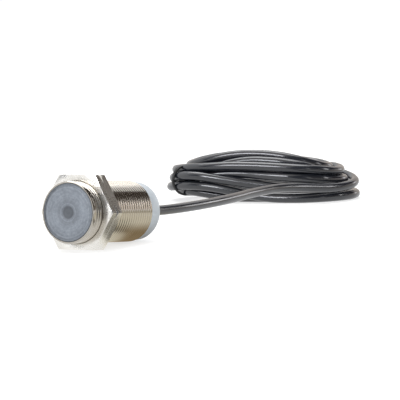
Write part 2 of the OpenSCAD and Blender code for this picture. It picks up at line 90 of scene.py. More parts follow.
# Middle line of the lead from the grommet's nose to its far end, in the hank's frame
LEAD_ROUTE = (
    (13.6, -199.4, 13.4), (15.4, -188.6, 12.5), (17.4, -177.9, 12), (19.4, -167.1, 11.7),
    (21.1, -156.4, 11.5), (22.8, -145.5, 11.4), (24.1, -134.7, 11.3), (25.2, -123.8, 11.3),
    (25.9, -112.9, 11.3), (26.2, -101.9, 11.3), (26.4, -91, 11.4), (27.1, -80.1, 11.4),
    (28.3, -69.2, 11.4), (30, -58.4, 11.3), (33.1, -48, 10.8), (37.3, -37.9, 9.9), (42.8, -28.5, 8.8),
    (48.5, -19.2, 8.1), (52.6, -9.1, 8.2), (53.4, 1.7, 8.9), (50.3, 12.1, 9.9), (43.5, 20.4, 11.4),
    (34.2, 25.8, 13.3), (23.8, 28.5, 15.2), (13.1, 28.8, 17.4), (2.4, 27.5, 19.3), (-8.3, 25.8, 20.9),
    (-19.1, 23.7, 21.8), (-29.3, 19.7, 22.2), (-37.5, 12.7, 21.1), (-41.2, 2.7, 19.8),
    (-38.2, -7.5, 20.1), (-29.8, -14, 22), (-19.4, -16.1, 24.4), (-8.6, -16, 26), (2.4, -15.8, 26.3),
    (13.3, -16, 25.7), (24, -15.5, 23.9), (33.4, -11.3, 20.9), (38.5, -2.5, 18.3), (37.2, 8, 17.5),
    (29.7, 15.6, 18.4), (19.5, 19.2, 19.5), (8.7, 19.9, 20.3), (-2.3, 19.8, 20.5), (-13.1, 19.8, 19.6),
    (-23.9, 19.6, 17.9), (-34.6, 17.5, 17.1), (-43, 10.8, 16.9), (-45, 0.4, 15.9), (-39.7, -8.8, 15.1),
    (-30.5, -14.6, 16.3), (-20.4, -17.6, 19.2), (-9.9, -19, 21.7), (1, -19.8, 23), (11.9, -20.5, 22.8),
    (22.8, -20.2, 21.7), (32.9, -17, 19.4), (39.2, -9.2, 15.7), (40.4, 1.3, 13.1), (36.5, 11.4, 12.8),
    (27.6, 17.4, 13.8), (16.9, 19.4, 14.7), (6, 20.5, 15.4), (-4.8, 22.2, 15.9), (-15.6, 23.8, 16.2),
    (-26.5, 24.2, 16.3), (-37.2, 21.7, 16.2), (-46, 15.5, 16.1), (-50.5, 5.7, 16.4),
    (-48.4, -4.8, 17.2), (-41.5, -13.2, 18.3), (-32.4, -19.1, 19.3), (-22.1, -22.7, 19.9),
    (-11.3, -24.1, 20.5), (-0.4, -24.5, 20.5), (10.5, -24.9, 20.2), (21.5, -24.9, 19.6),
    (32.2, -22.7, 18.7), (40.8, -16.4, 17.5), (45.2, -6.5, 16.2), (45, 4.3, 15.7), (40.3, 14, 16.3),
    (31.8, 20.6, 16.5), (21.4, 23.7, 15.7), (10.6, 24.9, 14.3), (-0.3, 25.6, 13.1), (-11.2, 26.1, 12.1),
    (-22.1, 25.4, 11.5), (-32.6, 22.6, 11.1), (-41.9, 16.9, 11), (-48.2, 8, 11.3), (-49.9, -2.6, 12),
    (-46.5, -12.8, 13.5), (-38.8, -20.3, 14.9), (-28.8, -24.6, 15.1), (-18, -25.9, 13.9),
    (-7.2, -25.4, 12.2), (3.5, -24.5, 10.6), (14.4, -23.5, 9.3), (25.1, -21.8, 8.3), (35, -17.3, 7.7),
    (41.5, -8.7, 7.5), (43, 2, 7.5), (39.1, 12, 7.5), (30.4, 18.2, 7.8), (19.8, 20.3, 8.6),
    (8.9, 20.5, 9.6), (-2, 20.6, 10.5), (-12.9, 20.8, 11.4), (-23.8, 20, 11.7), (-34, 16.4, 11.5),
    (-42, 9, 10.9), (-45.2, -1.3, 10.5), (-41.9, -11.4, 11.4), (-33.5, -18, 13.2), (-23.1, -20.6, 15),
    (-12.2, -21.4, 15.9), (-1.3, -22.3, 15.9), (9.5, -23.7, 15.3), (20.4, -24.6, 14.7),
    (31.1, -23.2, 13.9), (40.1, -17.4, 12.8), (45.3, -7.9, 11.5), (46.9, 2.9, 10.8), (43.2, 13, 10.7),
    (34.8, 20, 11), (24.7, 24.1, 10.7), (13.9, 25.5, 9.7), (3.1, 25.1, 8.4), (-7.7, 24, 7),
    (-18.5, 22.4, 5.4), (-29, 19.8, 3.9), (-38.5, 14.6, 3.1), (-45.2, 6.2, 3.7), (-46.3, -4.4, 5.3),
    (-40.7, -13.4, 6.4), (-30.9, -18, 5.7), (-20.1, -18.6, 4.1), (-9.3, -17.6, 2.8), (1.6, -17, 2.5),
    (12.5, -17.2, 2.5), (23.5, -16.8, 2.6), (33.8, -13.5, 2.6), (41.2, -5.7, 2.5), (42.2, 5, 2.5),
    (36.8, 14.3, 2.6), (27.7, 20.2, 2.6), (17.2, 23.5, 2.5), (6.5, 25.3, 2.5), (-4.4, 26.7, 2.8),
    (-15.3, 27.3, 3.5), (-26.1, 26.5, 4.6), (-36.5, 23.3, 5.7), (-45.4, 17, 6.5), (-51.1, 7.8, 7),
    (-52, -3, 7.5), (-47.6, -12.8, 8.4), (-39.3, -19.9, 9.4), (-29.2, -23.9, 9.7), (-18.4, -25.1, 8.8),
    (-7.7, -24.5, 6.7), (3, -23.4, 4.4), (13.8, -23, 2.9), (24.7, -22.5, 2.5), (35.4, -20.4, 2.5),
    (44.9, -15.1, 2.6), (51.2, -6.3, 2.6), (52.8, 4.4, 2.5), (49.5, 14.7, 2.5), (42.1, 22.6, 2.5),
    (32.3, 27.5, 2.5), (21.6, 29.8, 2.5), (10.7, 30.7, 2.5), (-0.2, 31.5, 2.5), (-11.1, 32.2, 2.5),
    (-22, 33, 2.5)
)
TAIL_END = Vector(LEAD_ROUTE[-1])
NOSE_TIP = SENSOR @ Vector((0, 0, NOSE_END))


class SensorSizes(bpy.types.PropertyGroup):
    """Sizes of the dressed pieces."""

    thread_pitch: FloatProperty(
        name="Thread Pitch", description="Distance between two turns of the barrel's thread",
        default=0.002, min=0.001, max=0.003, unit="LENGTH")
    thread_depth: FloatProperty(
        name="Thread Depth", description="Depth of the barrel's thread",
        default=0.00016, min=0.0001, max=0.0006, unit="LENGTH")
    nut_flats: FloatProperty(
        name="Nut Flats", description="Size of the lock nuts across their flats",
        default=0.036, unit="LENGTH")
    nut_thickness: FloatProperty(
        name="Nut Thickness", description="Thickness of each lock nut",
        default=0.0044, unit="LENGTH")
    nut_edge: FloatProperty(
        name="Nut Edge", description="Rounding of the nuts' edges",
        default=0.00012, unit="LENGTH")
    cap_rounding: FloatProperty(
        name="Cap Rounding", description="Rounding of the end cap's rear edge",
        default=0.002, unit="LENGTH")
    lead_diameter: FloatProperty(
        name="Lead Diameter", description="Diameter of the lead's jacket",
        default=0.005, unit="LENGTH")
    lead_length: FloatProperty(
        name="Lead Length", description="Length of the lead from the grommet to the end of its jacket",
        default=1.94, unit="LENGTH")
    core_diameter: FloatProperty(
        name="Core Diameter", description="Diameter of each insulated core",
        default=0.0015, unit="LENGTH")
    tie_diameter: FloatProperty(
        name="Tie Diameter", description="Thickness of the coated tie wire",
        default=0.0012, unit="LENGTH")
    steps: IntProperty(
        name="Steps Round", description="Number of steps in a turned piece",
        default=120, min=60, max=180)


def tint(name, description, colour):
    """A colour that the user can change."""
    return FloatVectorProperty(
        name=name, description=description, default=(*colour, 1), size=4, min=0, max=1, subtype="COLOR")


class SensorFinishes(bpy.types.PropertyGroup):
    """Colours of the finishes."""

    barrel: tint("Barrel", "Satin nickel of the barrel", (0.60, 0.565, 0.51))
    nut: tint("Nut", "Bright nickel of the nuts", (0.90, 0.88, 0.83))
    face: tint("Sensing Face", "Moulded plastic of the sensing face", (0.242, 0.27, 0.312))
    cap: tint("End Cap", "Pale translucent plastic of the end cap", (0.50, 0.545, 0.585))
    jacket: tint("Jacket", "Satin jacket of the lead", (0.012, 0.0145, 0.021))
    grommet: tint("Grommet", "Soft plastic of the grommet", (0.02, 0.02, 0.023))
    tie: tint("Tie", "Coating of the tie wire", (0.008, 0.008, 0.008))
    brown: tint("Brown Core", "Insulation of the brown core", (0.13, 0.05, 0.02))
    blue: tint("Blue Core", "Insulation of the blue core", (0.015, 0.06, 0.35))
    black: tint("Black Core", "Insulation of the black core", (0.01, 0.01, 0.01))
    copper: tint("Copper", "Bare and enamelled copper", (0.72, 0.33, 0.16))


class SensorStage(bpy.types.PropertyGroup):
    """Camera and studio light."""

    camera_place: FloatVectorProperty(
        name="Camera Place", description="Where the camera stands",
        default=(0.838091, -1.270555, 0.157442), subtype="TRANSLATION")
    lens: FloatProperty(
        name="Lens", description="Focal length in millimetres on a sensor 36 mm wide",
        default=283.078, min=10)
    key_power: FloatProperty(
        name="Key Power", description="Power of the large lamp over the object", default=21, unit="POWER")
    fill_power: FloatProperty(
        name="Fill Power", description="Power of the lamp beside the camera", default=8, unit="POWER")
    room_light: FloatProperty(
        name="Room Light", description="Strength of the even light of the room", default=0.85, min=0)


class Wire:
    """One socket of a node tree. Sums with it add Math nodes, or Vector Math nodes where it is a vector."""

    def __init__(self, tree, socket):
        self.tree, self.socket = tree, socket

    def __add__(self, other):
        return self.tree.sum("ADD", self, other)

    def __radd__(self, other):
        return self.tree.sum("ADD", other, self)

    def __sub__(self, other):
        return self.tree.sum("SUBTRACT", self, other)

    def __rsub__(self, other):
        return self.tree.sum("SUBTRACT", other, self)

    def __mul__(self, other):
        return self.tree.sum("MULTIPLY", self, other)

    def __rmul__(self, other):
        return self.tree.sum("MULTIPLY", other, self)

    def __truediv__(self, other):
        return self.tree.sum("DIVIDE", self, other)

    def __rtruediv__(self, other):
        return self.tree.sum("DIVIDE", other, self)

    def __pow__(self, other):
        return self.tree.sum("POWER", self, other)

    def __rpow__(self, other):
        return self.tree.sum("POWER", other, self)


class Nodes:
    """Adds nodes to one tree."""

    def __init__(self, tree):
        self.tree = tree
        tree.nodes.clear()

    def node(self, kind, settings=None, sockets=None, out=0):
        """Adds a node: its settings first, then values or links for its sockets."""
        made = self.tree.nodes.new("ShaderNode" + kind)
        for key, value in (settings or {}).items():
            setattr(made, key, value)
        for key, value in (sockets or {}).items():
            if isinstance(value, Wire):
                self.tree.links.new(value.socket, made.inputs[key])
            else:
                made.inputs[key].default_value = value
        return Wire(self, made.outputs[out])

    def sum(self, operation, *values):
        """One Math node, or one Vector Math node where a value is a vector."""
        vector = any(isinstance(v, Wire) and v.socket.type != "VALUE" for v in values)
        kind = "VectorMath" if vector else "Math"
        if vector:
            values = [(v,) * 3 if isinstance(v, (int, float)) else v for v in values]
        return self.node(kind, {"operation": operation}, dict(enumerate(values)))

    def clamp(self, value, low=0.0, high=1.0):
        """The value, kept between two others."""
        return self.sum("MINIMUM", self.sum("MAXIMUM", value, low), high)

    def rise(self, value, start, end):
        """From 0 at the start to 1 at the end, which may also lie below the start."""
        return self.clamp((value - start) / (end - start))

    def blend(self, factor, first, second):
        """A colour between two others."""
        return self.node("Mix", {"data_type": "RGBA"}, {0: factor, 6: first, 7: second}, out=2)

    def parts(self, vector):
        """The three parts of a vector."""
        made = self.node("SeparateXYZ", None, {0: vector})
        return [Wire(self, s) for s in made.socket.node.outputs]

    def point(self, x=0.0, y=0.0, z=0.0):
        """A vector of three parts."""
        return self.node("CombineXYZ", None, {0: x, 1: y, 2: z})

    def noise(self, place, scale, detail=2.0, roughness=0.5):
        """Even noise from 0 to 1."""
        sockets = {"Vector": place, "Scale": scale, "Detail": detail, "Roughness": roughness}
        return self.node("TexNoise", None, sockets)


class Finish(Nodes):
    """A procedural finish: one Principled shader, with places in millimetres."""

    def __init__(self, name, **steady):
        material = bpy.data.materials.new(name)
        material.use_nodes = True
        super().__init__(material.node_tree)
        self.material = material
        shader = self.tree.nodes.new("ShaderNodeBsdfPrincipled")
        output = self.tree.nodes.new("ShaderNodeOutputMaterial")
        self.tree.links.new(shader.outputs[0], output.inputs[0])
        self.shader = shader
        self.feed(**steady)

    def feed(self, **sockets):
        """Sets or links the shader's sockets, named with _ for a space."""
        for key, value in sockets.items():
            socket = self.shader.inputs[key.replace("_", " ")]
            if isinstance(value, Wire):
                self.tree.links.new(value.socket, socket)
            else:
                socket.default_value = value

    def place(self, matrix=None):
        """Object coordinates in millimetres, in the sensor's frame where its matrix is given."""
        inner = (matrix or Matrix.Scale(0.001, 4)).inverted()
        where, turn, scale = inner.decompose()
        return self.node("Mapping", {"vector_type": "POINT"}, {
            "Vector": self.node("TexCoord", out=3), "Location": where, "Rotation": turn.to_euler(),
            "Scale": scale})

    def relief(self, height, depth):
        """Raises the surface by a height that is given in parts of the depth, in millimetres."""
        self.feed(Normal=self.node("Bump", None, {"Height": height, "Distance": depth * 0.001}))


def shade(colour, factor):
    """The colour, made darker or lighter."""
    return (*(min(1, c * factor) for c in colour[:3]), 1)


def turned(corners, steps):
    """A section, given as (radius, station) corners in mm, turned once round the axis."""
    bm = bmesh.new()
    points = [bm.verts.new((r, 0, z)) for r, z in corners]
    ends = zip(points, points[1:] + points[:1])
    lines = [bm.edges.new(pair) for pair in ends if pair[0].co.x > 0 or pair[1].co.x > 0]
    bmesh.ops.spin(
        bm, geom=points + lines, cent=(0, 0, 0), axis=(0, 0, 1), dvec=(0, 0, 0),
        angle=2 * pi, steps=steps, use_merge=True)
    bmesh.ops.remove_doubles(bm, verts=bm.verts, dist=0.0005)
    bmesh.ops.dissolve_degenerate(bm, edges=bm.edges, dist=0.0005)
    bmesh.ops.recalc_face_normals(bm, faces=bm.faces)
    return bm


def soften(bm, width, segments=2, sharper=30, where=None):
    """Rounds the edges that are sharper than an angle, where the test of their middle allows it."""
    edges = [
        e for e in bm.edges
        if e.is_manifold and degrees(e.calc_face_angle(0)) > sharper
        and (where is None or where((e.verts[0].co + e.verts[1].co) / 2))]
    bmesh.ops.bevel(
        bm, geom=edges, offset=width, offset_type="OFFSET", segments=segments, profile=0.5,
        affect="EDGES", clamp_overlap=True, material=-1)


def drawn(bm, edges, radius, station):
    """Draws an open edge loop on to a new radius and station, and gives its new edge loop."""
    made = bmesh.ops.extrude_edge_only(bm, edges=edges)["geom"]
    for v in (g for g in made if isinstance(g, bmesh.types.BMVert)):
        v.co = (*(v.co.xy.normalized() * radius), station)
    return [g for g in made if isinstance(g, bmesh.types.BMEdge) and g.is_boundary]


def placed(bm, name, place, finish, body, stands_for=(), flat=30):
    """Makes a finished object of a bmesh: at the origin, with its place in its mesh."""
    bmesh.ops.recalc_face_normals(bm, faces=bm.faces)
    bmesh.ops.transform(bm, matrix=place, verts=bm.verts)
    mesh = bpy.data.meshes.new(name)
    bm.to_mesh(mesh)
    bm.free()
    mesh.shade_smooth()
    mesh.set_sharp_from_angle(angle=radians(flat))
    return kept(bpy.data.objects.new(name, mesh), finish, body, stands_for)


def kept(piece, finish, body, stands_for=()):
    """Links a piece, gives it its finish and its body, and hides the nodes that it stands for."""
    bpy.context.scene.collection.objects.link(piece)
    piece.data.materials.append(finish.material)
    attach(piece, body)
    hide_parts(*stands_for)
    return piece


def wire_curve(name, routes, thickness, place, resolution=4):
    """Round wires along routes of points in mm, as one curve object."""
    data = bpy.data.curves.new(name, "CURVE")
    data.dimensions = "3D"
    data.bevel_depth = thickness / 2
    data.bevel_resolution = resolution
    data.use_fill_caps = True
    for route in routes:
        spline = data.splines.new("BEZIER")
        spline.bezier_points.add(len(route) - 1)
        for knot, point in zip(spline.bezier_points, route):
            knot.co = place @ Vector(point)
            knot.handle_left_type = knot.handle_right_type = "AUTO"
        spline.resolution_u = 5
    return bpy.data.objects.new(name, data)


def sizes():
    """The sizes that the user can change."""
    return bpy.context.scene.sensor_sizes


def colours():
    """The colours that the user can change."""
    return bpy.context.scene.sensor_finishes


def nickel(name, colour, roughness, darker, lighter):
    """Nickel plating, a little uneven in tone and gloss, with its tone and its place."""
    f = Finish(name, Metallic=1.0)
    place = f.place(SENSOR)
    cloud, fine = f.noise(place, 0.12, 3), f.noise(place, 1.9, 2)
    tone = f.blend(f.clamp(cloud * 1.4 - 0.2), shade(colour, darker), shade(colour, lighter))
    f.feed(Base_Color=tone)
    f.feed(Roughness=f.clamp(roughness + (fine - 0.5) * 0.08 + (cloud - 0.5) * 0.06, 0.05, 1))
    return f, tone, f.parts(place)


def barrel_finish():
    """Satin nickel, with fine turning lines along the thread and painted shade in its roots."""
    colour = colours().barrel
    f, tone, (x, y, z) = nickel("barrel_nickel", colour, 0.13, 0.95, 1.05)
    radius = (x * x + y * y) ** 0.5
    # Painted shade: the roots of the thread are darkened in the base colour.
    root = f.rise(radius, BARREL_R, BARREL_R - sizes().thread_depth * 1000)
    f.feed(Base_Color=f.blend(root * 0.3, tone, shade(colour, 0.45)))
    f.relief(f.noise(f.point(radius * 5, z * 9, 0.0), 1.0, 2), 0.006)
    return f


def nut_finish():
    """Bright nickel, faced with rings on its ends and drawn along its flats."""
    f, tone, (x, y, z) = nickel("nut_nickel", colours().nut, 0.28, 0.93, 1.06)
    radius = (x * x + y * y) ** 0.5
    rings = f.noise(f.point(radius * 4, 0.0, 0.0), 1.0, 3)
    strokes = f.noise(f.point(x * 0.3, y * 0.3, z * 6), 1.0, 3)
    f.relief(rings * 0.6 + strokes * 0.4, 0.008)
    return f


class SENSOR_OT_barrel(bpy.types.Operator):
    """Threaded metal barrel with the rim round its sensing face"""

    bl_idname = "sensor.barrel"
    bl_label = "Threaded Barrel"

    def thread(self, pitch, depth, length):
        """The outside of the barrel: one turn of its section, doubled until it is long enough."""
        steps, round_steps, edge = 96, 6, 0.1
        crest, groove = 0.62 * pitch, 0.38 * pitch
        bm = bmesh.new()
        points = [bm.verts.new((BARREL_R, 0, -pitch))]
        for z in [edge, crest - edge] + [crest + groove * k / round_steps for k in range(round_steps + 1)]:
            sunk = 0.5 - 0.5 * cos(2 * pi * (z - crest) / groove) if z > crest else 0
            points.append(bm.verts.new((BARREL_R - depth * sunk, 0, z - pitch)))
        lines = [bm.edges.new(pair) for pair in zip(points, points[1:])]
        bmesh.ops.spin(
            bm, geom=points + lines, cent=(0, 0, 0), axis=(0, 0, 1), dvec=(0, 0, pitch / steps),
            angle=2 * pi, steps=steps)
        turns = 1
        while turns * pitch < length + 2 * pitch:
            made = bmesh.ops.duplicate(bm, geom=bm.verts[:] + bm.edges[:] + bm.faces[:])["geom"]
            copies = [g for g in made if isinstance(g, bmesh.types.BMVert)]
            bmesh.ops.translate(bm, vec=(0, 0, turns * pitch), verts=copies)
            turns *= 2
        bmesh.ops.remove_doubles(bm, verts=bm.verts, dist=0.001)
        for station, side in ((0, -1), (length, 1)):
            bmesh.ops.bisect_plane(
                bm, geom=bm.verts[:] + bm.edges[:] + bm.faces[:], dist=0.0001,
                plane_co=(0, 0, station), plane_no=(0, 0, side), clear_outer=True)
        return bm

    def execute(self, context):
        s = sizes()
        length, chamfer, near = BARREL_END, 0.4, 0.01
        bm = self.thread(s.thread_pitch * 1000, s.thread_depth * 1000, length)
        for v in bm.verts:
            reach = BARREL_R - chamfer + min(v.co.z, length - v.co.z)
            if v.co.xy.length > reach:
                v.co.xy = v.co.xy.normalized() * reach
        open_edges = [e for e in bm.edges if e.is_boundary]
        front = [e for e in open_edges if max(v.co.z for v in e.verts) < near]
        rear = [e for e in open_edges if min(v.co.z for v in e.verts) > length - near]
        loop = drawn(bm, front, FACE_BORE_R + 0.1, 0)
        for radius, station in ((FACE_BORE_R, 0.1), (FACE_BORE_R, SEAT), (BORE_R, SEAT), (BORE_R, length)):
            loop = drawn(bm, loop, radius, station)
        bmesh.ops.bridge_loops(bm, edges=loop + rear)
        placed(bm, "threaded_barrel", SENSOR, barrel_finish(), "sensor", ["barrel"])
        return {"FINISHED"}


# Bevel of a nut's corners, as the radius in mm where it begins and its slope: on the
# outer side of a nut, and on the side that meets the other nut
OUTER_BEVEL, INNER_BEVEL = (18.8, radians(12)), (19, radians(30))


class SENSOR_OT_nuts(bpy.types.Operator):
    """The two lock nuts, with bevelled corners where they meet"""

    bl_idname = "sensor.nuts"
    bl_label = "Lock Nuts"

    def nut(self, station, facing):
        """A nut whose bevelled side is at the far end, or at the near one where facing is -1."""
        s = sizes()
        half, thick, edge = s.nut_flats * 500, s.nut_thickness * 1000, s.nut_edge * 1000
        bore, chamfer, inner_ring, outer_ring, steps = 15.05, 0.3, 17, 18, 120
        bm = turned([
            (bore, thick - chamfer), (bore, chamfer), (bore + chamfer, 0), (inner_ring, 0),
            (outer_ring, 0), (outer_ring, thick), (inner_ring, thick), (bore + chamfer, thick)], steps)
        # The outer ring becomes the hexagon, and the inner one the line where its bevel begins,
        # which stays inside the flats by a margin
        between, margin = 0.5, 0.25
        for v in bm.verts:
            outer = v.co.z < thick / 2
            start, slope = OUTER_BEVEL if outer else INNER_BEVEL
            turn = atan2(v.co.y, v.co.x) % (pi / 3) - pi / 6
            rim = half / cos(turn)
            r = v.co.xy.length
            if r > outer_ring - between:
                sink = max(0, rim - start) * tan(slope)
                v.co = (*(v.co.xy.normalized() * rim), sink if outer else thick - sink)
            elif r > inner_ring - between:
                v.co.xy = v.co.xy.normalized() * min(start, rim - margin)
        soften(bm, edge, 2, 40)
        if facing < 0:
            bmesh.ops.scale(bm, vec=(1, 1, -1), verts=bm.verts)
            bmesh.ops.translate(bm, vec=(0, 0, thick), verts=bm.verts)
        bmesh.ops.translate(bm, vec=(0, 0, station), verts=bm.verts)
        return bm

    def execute(self, context):
        finish = nut_finish()
        thick = sizes().nut_thickness * 1000
        for side, station, facing in (("front", NUTS_AT, 1), ("rear", NUTS_AT + thick, -1)):
            placed(
                self.nut(station, facing), f"{side}_lock_nut", SENSOR, finish,
                f"{side}_nut", [f"{side}_nut"], 20)
        return {"FINISHED"}


class SENSOR_OT_face(bpy.types.Operator):
    """Moulded sensing face with its skirt and the shallow mark in its middle"""

    bl_idname = "sensor.face"
    bl_label = "Sensing Face"

    def execute(self, context):
        f = Finish("face_plastic", Specular_IOR_Level=0.4)
        place = f.place(SENSOR)
        x, y, z = f.parts(place)
        radius = (x * x + y * y) ** 0.5
        colour = colours().face
        groove, mark_r, skirt_r = 13.2, 3.4, 12.15
        rings = f.noise(f.point(radius * 1.1, 3.7, 0.0), 1.0, 3, 0.6)
        fine = f.noise(f.point(radius * 5.5, 8.1, 0.0), 1.0, 2, 0.6)
        cloud, mottle = f.noise(place, 0.16, 3), f.noise(place, 0.75, 3, 0.65)
        tone = 0.5 + (rings - 0.5) * 1.8 + (fine - 0.5) * 1.4
        tone = tone + (cloud - 0.5) * 1.2 + (mottle - 0.5) * 1.6
        off = radius - 5
        halo = f.clamp(1 - off * off / 2.2) * 0.3
        # Painted shade: darker round the groove, most on the left side, and in the gap at the rim of the face.
        painted_groove_shade = f.clamp(0.3 - x * 0.04 + (cloud - 0.5) * 2)
        painted_groove_shade = painted_groove_shade * f.rise(f.sum("ABSOLUTE", radius - groove), 0.8, 0)
        edge = f.sum("MAXIMUM", painted_groove_shade, f.rise(radius, FACE_R - 0.45, FACE_R - 0.15) * 0.75)
        mark = f.rise(radius, mark_r + 0.5, mark_r - 0.7) * 0.85
        skin = f.blend(f.clamp(tone), shade(colour, 0.72), shade(colour, 1.28))
        for mask, factor in ((halo, 0.72), (edge, 0.2), (mark, 0.36)):
            skin = f.blend(mask, skin, shade(colour, factor))
        f.feed(Base_Color=skin)
        f.feed(Roughness=f.clamp(0.42 + (fine - 0.5) * 0.2, 0.2, 0.8))
        f.relief(rings * 0.5 + fine * 0.5, 0.03)
        section = [
            (0, 0.25), (mark_r - 0.25, 0.25), (mark_r, 0), (groove - 0.25, 0), (groove, 0.2),
            (groove + 0.25, 0), (FACE_R, 0), (FACE_R, SEAT), (PLUG_R, SEAT), (PLUG_R, 5.7),
            (SEAL_R, 5.7), (SEAL_R, 6.8), (PLUG_R, 6.8), (PLUG_R, 9.5), (skirt_r, 9.5),
            (skirt_r, 1), (0, 1)]
        bm = turned(section, sizes().steps)
        soften(bm, 0.3, 4, 60, lambda m: m.z < 0.1 and m.xy.length > 13)
        soften(bm, 0.08, 2, 30, lambda m: m.z < 0.3 and 2.9 < m.xy.length < 13.6)
        placed(bm, "sensing_face_disc", SENSOR, f, "sensor", ["sensing_face"])
        return {"FINISHED"}


class SENSOR_OT_cap(bpy.types.Operator):
    """End cap behind the barrel, and the grommet that its cable leaves by"""

    bl_idname = "sensor.cap"
    bl_label = "End Cap and Grommet"

    def cap(self):
        """The cap with its plug, which is grooved for the seal."""
        hole, inner_r, plug_bore = 4.25, 12.4, 11.55
        long = CAP_END - BARREL_END
        roof = long - CAP_WALL
        section = [
            (plug_bore, -6), (PLUG_R, -6), (PLUG_R, -3.55), (SEAL_R, -3.55), (SEAL_R, -2.45),
            (PLUG_R, -2.45), (PLUG_R, 0), (CAP_R, 0), (CAP_R, long), (hole, long),
            (hole, roof), (inner_r, roof), (inner_r, CAP_WALL), (plug_bore, 0)]
        bm = turned([(r, BARREL_END + z) for r, z in section], sizes().steps)
        rounding = sizes().cap_rounding * 1000
        soften(bm, rounding, 8, 60, lambda m: m.z > CAP_END - 0.1 and m.xy.length > 13)
        soften(bm, 0.2, 3, 60, lambda m: m.z < BARREL_END + 0.1 and m.xy.length > 14)
        soften(bm, 0.3, 3, 60, lambda m: m.z > CAP_END - 0.1 and m.xy.length < 5)
        f = Finish(
            "cap_plastic", IOR=1.5, Specular_IOR_Level=0.35, Subsurface_Weight=0.35,
            Subsurface_Radius=(1, 1, 1), Subsurface_Scale=0.003)
        place = f.place(SENSOR)
        cloud, grain = f.noise(place, 0.16, 3), f.noise(place, 2.6, 3)
        colour = colours().cap
        f.feed(Base_Color=f.blend(f.clamp(cloud * 1.6 - 0.3), shade(colour, 0.9), shade(colour, 1.07)))
        f.feed(Roughness=f.clamp(0.32 + (grain - 0.5) * 0.14))
        f.relief(grain, 0.02)
        placed(bm, "translucent_end_cap", SENSOR, f, "sensor", ["end_cap"])

    def grommet(self):
        """The grommet: a flange inside the cap, and a tapered nose with three grooves."""
        flange, root, tip, depth, long = 6.5, 4.2, 3.2, 0.5, NOSE_END - CAP_END
        slope = (root - tip) / long
        grooves = [
            (root - slope * (2 * k + side) - (depth if abs(side) < 0.3 else 0), 2 * k + side)
            for k in (1, 2, 3) for side in (-0.45, -0.25, 0.25, 0.45)]
        section = [
            (JACKET_BORE_R, -3.4), (flange, -3.4), (flange, -CAP_WALL), (root, -CAP_WALL), (root, 0),
            *grooves, (tip, long), (JACKET_BORE_R, long)]
        bm = turned([(r, CAP_END + z) for r, z in section], 72)
        soften(bm, 0.12, 2, 25, lambda m: m.z > CAP_END + 0.5 and m.xy.length > 2.6)
        f = Finish("grommet_rubber", Roughness=0.55)
        place = f.place(SENSOR)
        cloud, grain = f.noise(place, 0.5, 2), f.noise(place, 6.0, 2)
        colour = colours().grommet
        f.feed(Base_Color=f.blend(cloud, shade(colour, 0.8), shade(colour, 1.3)))
        f.relief(grain, 0.02)
        placed(bm, "grommet_nose", SENSOR, f, "sensor", ["cable_grommet"])

    def execute(self, context):
        self.cap()
        self.grommet()
        return {"FINISHED"}


def coated(name, colour, roughness, grain=1.0, depth=0.02, **steady):
    """A plain extruded or dipped coating, a little uneven in tone and gloss."""
    f = Finish(name, **steady)
    place = f.place()
    slow, fast = f.noise(place, 0.08 * grain, 2), f.noise(place, 1.3 * grain, 3)
    f.feed(Base_Color=f.blend(f.clamp(slow * 1.5 - 0.25), shade(colour, 0.8), shade(colour, 1.2)))
    f.feed(Roughness=f.clamp(roughness + (fast - 0.5) * 0.12 + (slow - 0.5) * 0.1, 0.1, 1))
    f.relief(fast * 0.4 + f.noise(place, 0.22 * grain, 2) * 0.6, depth)
    return f


def strand_finish():
    """Bare copper strand."""
    f = Finish("copper_strand", Metallic=1.0, Roughness=0.3)
    place = f.place()
    tone = f.noise(place, 1.5, 2)
    f.feed(Base_Color=f.blend(tone, shade(colours().copper, 0.7), shade(colours().copper, 1.1)))
    return f


# Free cores, in mm: the side and height where they leave the jacket, those of their tips,
# and their reach
CORES = {
    "brown": ((-1.1, 1.7), (-4, 0.95), 19),
    "blue": ((1.1, 1.7), (4, 0.95), 19),
    "black": ((0, 3.6), (0.2, 1.3), 18),
}
# Diameter of one copper strand, in mm
STRAND_D = 0.22


class SENSOR_OT_cores(bpy.types.Operator):
    """The three free cores at the end of the lead, each with its bare strand"""

    bl_idname = "sensor.cores"
    bl_label = "Free Cores"

    def execute(self, context):
        s = sizes()
        copper = strand_finish()
        for name, ((side, height), (tip_side, tip_height), reach) in CORES.items():
            start = Vector((TAIL_END.x, TAIL_END.y + side, height))
            tip = Vector((TAIL_END.x - reach, TAIL_END.y + tip_side, tip_height))
            along = (tip - start).normalized()
            # From inside the jacket straight out of it, and then with a slight sag to the tip
            knots = [start + Vector((0.6, 0, 0)), start - Vector((1.2, 0, 0))]
            for t in (0.3, 0.6, 0.85):
                knots.append(start.lerp(tip, t) - Vector((0, 0, 0.12 * sin(pi * t))))
            core = wire_curve(f"{name}_core", [[*knots, tip]], s.core_diameter, HANK)
            finish = coated(f"core_{name}", getattr(colours(), name), 0.35, 2.5, 0.02)
            kept(core, finish, "sensor", [f"core_{name}"])
            # One strand in the middle and six twisted round it, 6 mm past the tip
            beside = along.cross((0, 0, 1)).normalized()
            over = beside.cross(along)
            routes = [[tip + along * t for t in (-1, 2, 4, 6)]]
            for k in range(6):
                routes.append([])
                for t in (-1, 0.4, 1.8, 3.2, 4.6, 6):
                    turn = k * pi / 3 + t
                    out = (beside * cos(turn) + over * sin(turn)) * STRAND_D
                    routes[-1].append(tip + along * t + out)
            strand = wire_curve(f"{name}_strand", routes, STRAND_D * 0.001, HANK, 2)
            kept(strand, copper, "sensor")
        return {"FINISHED"}


